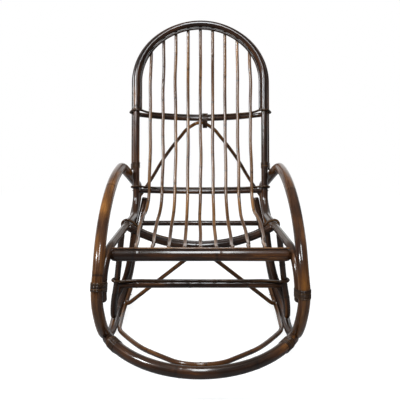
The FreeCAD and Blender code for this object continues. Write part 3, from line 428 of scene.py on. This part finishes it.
# Foot hoop and the thin hoop behind it
foot_half = bent([(0, -550, 102), (270.1, -385.3, 121.9)], {0: ACROSS, 1: (0.467, 0.878, 0.105)})
thin_half = bent([(0, -528.1, 112.5), (144, -416, 88.2), (211, -303, 63.8), (266.7, -138.9, 28.3),
                  (268.7, 53.6, 16.3)],
                 {0: ACROSS, 3: (0.053, 0.977, -0.206), 4: (-0.067, 0.994, 0.087)})
stem("front_foot_hoop", whole(foot_half), FOOT_RADIUS, frame_lacquer, "dark_pole", joints=230, sides=32,
     swell=0.025)
stem("foot_hoop_brace", whole(thin_half), 7.2, arm_lacquer, "dark_pole", joints=170, sides=16)

# Hairpin legs and the braces shaped like a V
leg_line = bent([(250.7, -125, 346.2), (273, -106.5, 186.5), (290.2, -106.5, 58), (290.2, -93.5, 45),
                 (290.2, -80.5, 58), (244.6, -65.3, 191), (221, -45, 324)],
                {2: -UPWARD, 3: (0, 1, 0), 4: UPWARD}, step=3)
brace_half = bent([(0, -45, 253.3), (27.6, -36.4, 241.6), (245.7, 31.5, 37.2), (266.2, 71.1, 21.3),
                   (255.1, 193.3, 44.4)],
                  {0: ACROSS, 1: (0.711, 0.222, -0.667), 2: (0.711, 0.222, -0.667),
                   3: (-0.089, 0.979, 0.185), 4: (-0.089, 0.979, 0.185)})
back_half = bent([(0, 360.3, 623.1), (44.6, 371.1, 601.8), (81.7, 384.2, 559.1), (141.3, 407.3, 477.5),
                  (199.6, 432.9, 379.5), (248.6, 453.1, 305)], {0: ACROSS})
pair("hairpin_leg", leg_line, 10, frame_lacquer, "dark_pole", joints=150, sides=18, step=3.0)
stem("under_seat_brace", whole(brace_half), 7, arm_lacquer, "dark_pole", joints=170, sides=16)
stem("back_brace", whole(back_half), 6.5, arm_lacquer, "dark_pole", joints=150, sides=16)

# Slats: y and z of each point from the front rail to the second hoop, by number from the middle
SLAT_PITCH = 46.5
SAG_SWING = 4
SHAVED_TOP = 1.1
nail_spots = []
SLAT_SIDE_VIEW = [
    [(-338.8, 380.7), (-336, 379.6), (-45, 292.9),
     (201.2, 397.5), (353.3, 643.2), (474.1, 962.1), (483.3, 986.4)],
    [(-339, 380.7), (-336.2, 379.6), (-45, 295.8),
     (200.3, 397.9), (351.3, 644.2), (472.1, 957.8), (481.7, 982.5)],
    [(-339.6, 380.9), (-336.8, 379.9), (-45, 304.6),
     (197.5, 399.2), (345.1, 647.1), (465.9, 944.5), (476.5, 970.5)],
    [(-340.7, 381.1), (-337.9, 380.2), (-45, 319.8),
     (192.8, 401.4), (334.6, 651.9), (454.5, 920), (467.4, 948.9)],
    [(-342.4, 381.4), (-339.5, 380.7), (-45, 342.1),
     (186.1, 404.5), (319.5, 659), (434.5, 877.2), (453.6, 913.3)],
]
for number in range(9):
    place = number - 4
    points = [Vector((place * SLAT_PITCH, y, z)) for y, z in SLAT_SIDE_VIEW[abs(place)]]
    points[2].x += place * SAG_SWING
    front = points[1] - points[0]
    line = bent(points, {0: front, 1: front, 3: points[4] - points[3]})
    held = []
    for p in points[1:6]:
        nearest = min(range(len(line)), key=lambda k: (line[k] - p).length)
        held.append(sum((line[k + 1] - line[k]).length for k in range(nearest)))
    for p, out, thick in ((points[1], UPWARD, SHAVED_TOP), (points[2], UPWARD, SLAT_RADIUS),
                          (points[3], -BACK_REAR, SLAT_RADIUS), (points[4], -BACK_REAR, SLAT_RADIUS)):
        nail_spots.append((p + out * thick, out))
    stem("slat_%d" % (number + 1), line, SLAT_RADIUS, slat_lacquer, "slat_cane", joints=160, sides=14,
         stray=3.2, holds=held, ends=(0.9, 1), shaved=(45, 0.55))

# Nails with domed heads through the slats into the four rails
HEAD_RADIUS = 1.9
HEAD_HEIGHT = 0.8
SHANK_RADIUS = 0.9
SHANK_LENGTH = 10
bpy.ops.object.select_all(action="DESELECT")
bpy.ops.mesh.primitive_uv_sphere_add(segments=14, ring_count=8, radius=1)
nail = bpy.context.object
bpy.ops.object.mode_set(mode="EDIT")
bpy.ops.mesh.select_all(action="SELECT")
bpy.ops.transform.resize(value=(HEAD_RADIUS * MM, HEAD_RADIUS * MM, HEAD_HEIGHT * MM))
bpy.ops.mesh.select_all(action="DESELECT")
bpy.ops.mesh.primitive_cylinder_add(vertices=10, radius=SHANK_RADIUS * MM, depth=SHANK_LENGTH * MM,
                                    location=(0, 0, -SHANK_LENGTH / 2 * MM))
bpy.ops.object.mode_set(mode="OBJECT")
nail_shape = nail.data
nail_copies = []
for spot, out in nail_spots:
    bpy.ops.object.select_all(action="DESELECT")
    copy = bpy.data.objects.new("slat_nail", nail_shape.copy())
    scene.collection.objects.link(copy)
    copy.matrix_world = Matrix.Translation(spot * MM) @ out.to_track_quat("Z", "Y").to_matrix().to_4x4()
    copy.select_set(True)
    bpy.context.view_layer.objects.active = copy
    bpy.ops.object.transform_apply(location=True, rotation=True, scale=True)
    nail_copies.append(copy)
bpy.data.objects.remove(nail)
bpy.ops.object.select_all(action="DESELECT")
for copy in nail_copies:
    copy.select_set(True)
bpy.context.view_layer.objects.active = nail_copies[0]
bpy.ops.object.join()
finish_piece(bpy.context.object, "slat_nail_heads", nail_steel, "slat_nails")

# Straps of split cane along the rails
upper_strap = bent([(0, 372.2, 648.6), (66.2, 368.1, 650.5), (130.1, 356.4, 655.9), (189.3, 338.2, 664.4),
                    (233.9, 303.2, 680.7), (251.7, 311.8, 676.7), (260.4, 329.8, 668.3),
                    (254.6, 345.7, 660.9), (235.8, 341.1, 663.1)],
                   {0: ACROSS, 4: (0.985, -0.157, 0.073), 5: (0.402, 0.83, -0.387), 6: (0.402, 0.83, -0.387),
                    7: (-0.866, 0.453, -0.211), 8: (-0.5, -0.785, 0.366)}, step=3)
lower_strap = bent([(0, 220.1, 402.8), (65.4, 218.2, 403.7), (128.4, 213, 406.1), (186.7, 205, 409.8),
                    (229.3, 182.2, 420.5), (249.9, 196.5, 413.8), (228, 210.4, 407.4)],
                   {0: ACROSS, 4: (0.966, -0.235, 0.109), 5: BACK_REAR, 6: (-0.94, -0.31, 0.145)}, step=3)
sag_strap = bent([(0, -27.2, 281.8), (68.8, -27.2, 287), (135, -27.2, 302.1), (196.4, -27.2, 326.1),
                  (238.6, -27.2, 359.2), (260.2, -27.2, 337.7), (236, -27.2, 328.9)],
                 {0: ACROSS, 4: (0.94, 0, 0.342), 5: (-0.342, 0, -0.94), 6: (-0.866, 0, 0.5)}, step=3)
stretcher_strap = bent([(0, -111.7, 178.5), (76.8, -111.7, 178.5), (150.8, -111.7, 178.5),
                        (219.3, -111.7, 178.5), (274.1, -121, 178.5), (288.9, -106.2, 178.5),
                        (279.2, -92.3, 178.5)],
                       {0: ACROSS, 4: ACROSS, 5: (0, 1, 0), 6: (-0.94, 0.342, 0)}, step=3)
for rail, half, radius in (("upper_rail", upper_strap, 4), ("lower_rail", lower_strap, 4),
                           ("sag_rail", sag_strap, 4.5), ("front_stretcher", stretcher_strap, 4.5)):
    stem(rail + "_strap", whole(half), radius, split_cane, "split_cane", joints=200, sides=12, stray=0.3,
         step=3.0)


# Bindings: half-round cane wound side by side round one or two poles

def round_loop(near, far, near_radius, far_radius, across, ahead):
    """Points of one turn round two poles side by side, and the way out at each."""
    step = (far - near).length
    leave = math.acos((near_radius - far_radius) / step) if step else math.pi / 2
    out = []
    for centre, radius, first, last in ((far, far_radius, -leave, leave),
                                        (near, near_radius, leave, math.tau - leave)):
        for k in range(25):
            angle = first + (last - first) * k / 24
            away = across * math.cos(angle) + ahead * math.sin(angle)
            out.append((centre + away * radius, away))
    return out


def binding(node, loop, axis, turns, pitch, width, height):
    """Cane wound round loop, each turn pitch further along axis; flat inside and rounded outside, its edges
    darkened with painted shade where the turns meet.
    """
    section = [(-0.5, 0.0), (-0.44, 0.55), (-0.22, 0.93), (0.0, 1.0), (0.22, 0.93), (0.44, 0.55), (0.5, 0.0)]
    count = len(loop) * turns + 1
    verts = []
    ring_and_seam_shade_marks = []
    for i in range(count):
        p, away = loop[i % len(loop)]
        centre = p + axis * (pitch * i / len(loop))
        slack = 1 + 0.05 * math.sin(i * 0.37) + 0.04 * math.sin(i * 0.11 + 2)
        for wide, high in section:
            verts.append((centre + axis * (wide * width) + away * (high * height * slack)) * MM)
            # Painted shade: each turn darkens towards its edges, where it meets the next turn
            ring_and_seam_shade_marks.append(0.55 * (abs(wide) * 2) ** 4)
    sides = len(section)
    faces = [tuple(range(sides)), tuple((count - 1) * sides + k for k in reversed(range(sides)))]
    for i in range(count - 1):
        for k in range(sides):
            a, b = i * sides + k, i * sides + (k + 1) % sides
            faces.append((a, a + sides, b + sides, b))
    mesh = bpy.data.meshes.new(node)
    mesh.from_pydata(verts, [], faces)
    girth = sum((loop[k][0] - loop[k - 1][0]).length for k in range(len(loop)))
    map_stem(mesh, count, sides, girth * turns * MM, rng.uniform(0, 40))
    ring_and_seam_shade = mesh.attributes.new("ring_and_seam_shade", "FLOAT", "POINT")
    for i, mark in enumerate(ring_and_seam_shade_marks):
        ring_and_seam_shade.data[i].value = mark
    piece = bpy.data.objects.new(node, mesh)
    scene.collection.objects.link(piece)
    bpy.ops.object.select_all(action="DESELECT")
    piece.select_set(True)
    bpy.context.view_layer.objects.active = piece
    bpy.ops.object.mode_set(mode="EDIT")
    bpy.ops.mesh.select_all(action="SELECT")
    bpy.ops.mesh.normals_make_consistent(inside=False)
    bpy.ops.object.mode_set(mode="OBJECT")
    finish_piece(piece, node + "_cane", split_cane, node)


def square(v, axis):
    """The part of v that is square to axis, as a unit vector."""
    return (v - axis * v.dot(axis)).normalized()


def at_height(line, z):
    """Point and direction on the first half of a line where it passes a height."""
    k = next(k for k in range(len(line)) if line[k].z >= z)
    return line[k - 1].lerp(line[k], (z - line[k - 1].z) / (line[k].z - line[k - 1].z)), \
        (line[k] - line[k - 1]).normalized()


CANE_PITCH = 4.3
CANE_WIDTH = 4.1
CANE_HEIGHT = 1.5
WRAP_HEIGHT = 1.3
SNUG = 0.2
ARM_TIE_HEIGHTS = (294.5, 275.3)
ARM_TO_POST = 29.3
POST_TO_OUTER = 21.8
for (side_name, side), height in zip(SIDES, ARM_TIE_HEIGHTS):
    arm_spot, arm_aim = at_height(arm_line, height)
    arm_spot = Vector((arm_spot.x * side, arm_spot.y, arm_spot.z))
    arm_aim = Vector((arm_aim.x * side, arm_aim.y, arm_aim.z))
    across = square(Vector((-0.45 * side, 1, 0)), arm_aim)
    start = arm_spot - arm_aim * (CANE_PITCH * 3)
    loop = round_loop(start, start + across * ARM_TO_POST, ARM_RADIUS + SNUG, POST_RADIUS + SNUG, across,
                      arm_aim.cross(across))
    binding(side_name + "_arm_tie", loop, arm_aim, 6, CANE_PITCH, CANE_WIDTH, CANE_HEIGHT)

# The wraps run from 33 to 67 mm before the ends of the foot hoop
foot_points = even(foot_half, 1.0)[0]
for side_name, side in SIDES:
    inner, outer = foot_points[-67], foot_points[-33]
    inner = Vector((inner.x * side, inner.y, inner.z))
    outer = Vector((outer.x * side, outer.y, outer.z))
    aim = (inner - outer).normalized()
    across = square(UPWARD, aim)
    loop = round_loop(outer, outer, FOOT_RADIUS + SNUG, FOOT_RADIUS + SNUG, across, aim.cross(across))
    binding(side_name + "_foot_wrap", loop, aim, 8, CANE_PITCH, CANE_WIDTH, WRAP_HEIGHT)

for side_name, side in SIDES:
    post = Vector((234.4 * side, 227.1, 479.5)) - BACK_UP * 3
    aim = Vector((0.0107 * side, 0.4226, 0.9063))
    across = square(ACROSS * (side * 11) + BACK_REAR * 18.82, aim)
    loop = round_loop(post, post + across * POST_TO_OUTER, POST_RADIUS + SNUG, OUTER_RADIUS + SNUG, across,
                      aim.cross(across))
    binding(side_name + "_post_tie", loop, aim, 5, CANE_PITCH, CANE_WIDTH, CANE_HEIGHT)

# The brace tie is an oval round the upper rail, its strap and the brace
TIE_UP = 27.6
TIE_REAR = 12.8
TIE_POINTS = 50
tie_middle = Vector((8.8, 366.6, 637.1)) + BACK_REAR * 4 - BACK_UP * 6.5
rail_loop = []
for k in range(TIE_POINTS):
    angle = math.tau * k / TIE_POINTS
    up, rear = math.cos(angle), math.sin(angle)
    away = (BACK_UP * (up / TIE_UP) + BACK_REAR * (rear / TIE_REAR)).normalized()
    rail_loop.append((tie_middle + BACK_UP * (TIE_UP * up) + BACK_REAR * (TIE_REAR * rear), away))
binding("back_brace_tie", rail_loop, ACROSS, 4, CANE_PITCH, CANE_WIDTH, CANE_HEIGHT)

# CAD pieces that keep their shape
for node, material in (("frame_nails", nail_steel), ("toe_dowels", dowel_beech)):
    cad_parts[node].data.materials.clear()
    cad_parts[node].data.materials.append(material)

# Floor: grey paint, over which the camera sees white paper; reflections see the paper only well behind the
# chair
bpy.ops.object.select_all(action="DESELECT")
bpy.ops.mesh.primitive_plane_add(size=30, location=(0, 0, 0))
floor = bpy.context.object
floor.name = "floor"
floor_paint = bpy.data.materials.new("pale_floor_paint")
floor_paint.use_nodes = True
paint_tree = floor_paint.node_tree
paint = paint_tree.nodes["Principled BSDF"]
paint.inputs["Base Color"].default_value = srgb("#7c7c7c")
paint.inputs["Roughness"].default_value = 0.9
floor_place = add(paint_tree, "ShaderNodeTexCoord", {})
floor_spot = add(paint_tree, "ShaderNodeSeparateXYZ", {0: floor_place.outputs["Object"]})
away = add(paint_tree, "ShaderNodeVectorMath", {0: floor_place.outputs["Object"]}, operation="LENGTH")
# Near the chair the paper takes its shadow, beyond 2 m it is plain white
shadow_room = add(paint_tree, "ShaderNodeMapRange", {"Value": away.outputs["Value"], "From Min": 0.9,
                                                     "From Max": 2.0})
matt_paper = add(paint_tree, "ShaderNodeBsdfDiffuse", {"Color": srgb("#8a8a8a")})
paper_glow = add(paint_tree, "ShaderNodeEmission", {"Color": (1, 1, 1, 1), "Strength": 0.88})
near_paper = add(paint_tree, "ShaderNodeAddShader", {0: matt_paper.outputs[0], 1: paper_glow.outputs[0]})
white_paper = add(paint_tree, "ShaderNodeEmission", {"Color": (1, 1, 1, 1), "Strength": 1.0})
paper = add(paint_tree, "ShaderNodeMixShader", {0: shadow_room.outputs[0], 1: near_paper.outputs[0],
                                                2: white_paper.outputs[0]})
floor_ray = add(paint_tree, "ShaderNodeLightPath", {})
mirrored = add(paint_tree, "ShaderNodeMath",
               {0: floor_ray.outputs["Is Glossy Ray"], 1: floor_ray.outputs["Is Transmission Ray"]},
               operation="MAXIMUM")
behind = add(paint_tree, "ShaderNodeMapRange", {"Value": floor_spot.outputs[1], "From Min": 1.5,
                                                "From Max": 2.5})
mirror_paper = add(paint_tree, "ShaderNodeMath", {0: mirrored.outputs[0], 1: behind.outputs[0]},
                   operation="MULTIPLY")
shows = add(paint_tree, "ShaderNodeMath",
            {0: floor_ray.outputs["Is Camera Ray"], 1: mirror_paper.outputs[0]}, operation="MAXIMUM")
seen = add(paint_tree, "ShaderNodeMixShader",
           {0: shows.outputs[0], 1: paint.outputs[0], 2: paper.outputs[0]})
paint_tree.links.new(seen.outputs[0], paint_tree.nodes["Material Output"].inputs["Surface"])
floor.data.materials.append(floor_paint)

# Studio: dim soft light all round; white paper where the camera looks, and behind the chair for reflections
world = bpy.data.worlds.new("studio")
scene.world = world
world.use_nodes = True
sky = world.node_tree
soft = sky.nodes["Background"]
soft.inputs["Color"].default_value = srgb("#f2f5ff")
soft.inputs["Strength"].default_value = 0.14
white = add(sky, "ShaderNodeBackground", {"Color": (1, 1, 1, 1), "Strength": 1.0})
sky_ray = add(sky, "ShaderNodeLightPath", {})
sky_place = add(sky, "ShaderNodeTexCoord", {})
sky_way = add(sky, "ShaderNodeSeparateXYZ", {0: sky_place.outputs["Generated"]})
sky_behind = add(sky, "ShaderNodeMapRange", {"Value": sky_way.outputs[1], "From Min": 0.85,
                                             "From Max": 0.95})
sky_mirrored = add(sky, "ShaderNodeMath",
                   {0: sky_ray.outputs["Is Glossy Ray"], 1: sky_ray.outputs["Is Transmission Ray"]},
                   operation="MAXIMUM")
sky_paper = add(sky, "ShaderNodeMath", {0: sky_mirrored.outputs[0], 1: sky_behind.outputs[0]},
                operation="MULTIPLY")
sky_shows = add(sky, "ShaderNodeMath", {0: sky_ray.outputs["Is Camera Ray"], 1: sky_paper.outputs[0]},
                operation="MAXIMUM")
choice = add(sky, "ShaderNodeMixShader", {0: sky_shows.outputs[0], 1: soft.outputs[0], 2: white.outputs[0]})
sky.links.new(choice.outputs[0], sky.nodes["World Output"].inputs["Surface"])


def soft_box(name, place, aim, width, height, power, mirrored):
    """A rectangular lamp that faces aim; mirrored says if it is seen in the gloss of the lacquer."""
    bpy.ops.object.light_add(type="AREA", location=place)
    lamp = bpy.context.object
    lamp.name = name
    lamp.data.shape = "RECTANGLE"
    lamp.data.size = width
    lamp.data.size_y = height
    lamp.data.energy = power
    lamp.data.color = (0.93, 0.97, 1.0)
    lamp.visible_glossy = mirrored
    lamp.rotation_euler = (Vector(aim) - Vector(place)).to_track_quat("-Z", "Y").to_euler()


soft_box("window_light", (-2.6, -1.3, 2.9), (0, 0, 0.5), 0.8, 0.8, 105, True)
soft_box("ceiling_light", (0, -1.25, 2.9), (0, -1.25, 0), 0.5, 1.9, 62, True)
soft_box("left_light", (-3.0, 0.1, 1.3), (0, 0, 0.5), 1.2, 1.2, 28, False)
soft_box("fill_light", (1.9, -2.6, 1.9), (0, 0, 0.5), 1.0, 1.0, 22, False)
soft_box("back_light", (1.2, 3.0, 2.4), (0, 0, 0.5), 1.2, 1.2, 45, False)

bpy.ops.object.camera_add(location=(-0.0015, -2.0557, 1.0105), rotation=(math.radians(90 - 16), 0, 0))
camera = bpy.context.object
camera.data.sensor_width = 36
camera.data.lens = 57.6
scene.camera = camera
scene.view_settings.view_transform = "Standard"
